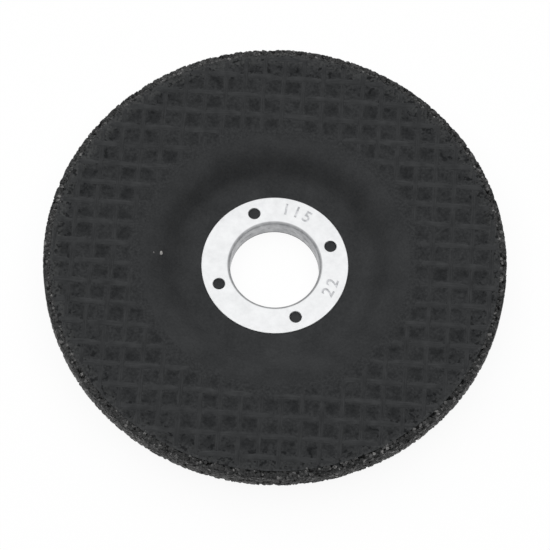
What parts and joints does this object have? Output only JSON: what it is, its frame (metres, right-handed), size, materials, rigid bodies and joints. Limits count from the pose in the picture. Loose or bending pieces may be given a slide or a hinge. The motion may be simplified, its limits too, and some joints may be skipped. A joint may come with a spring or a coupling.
{
  "type": "grinding disc",
  "caption": "Depressed-centre grinding wheel: dished abrasive disc with woven mesh faces and a pressed metal bore ring.",
  "frame": {"origin": "centre of the bore on the hub's back face, which is the lowest face", "axes": "+Z along the bore's axis, out of the grinding face; +X and +Y along the mesh's threads, to 1.1 degrees"},
  "size_m": [0.115, 0.115, 0.0098],
  "materials": {
    "bonded_abrasive": "matte",
    "glass_mesh": "matte",
    "ring_metal": "satin"
  },
  "bodies": {
    "root": {"abrasive_body": "bonded_abrasive", "front_mesh": "glass_mesh", "back_mesh": "glass_mesh", "bore_ring": "ring_metal"}
  },
  "joints": []
}
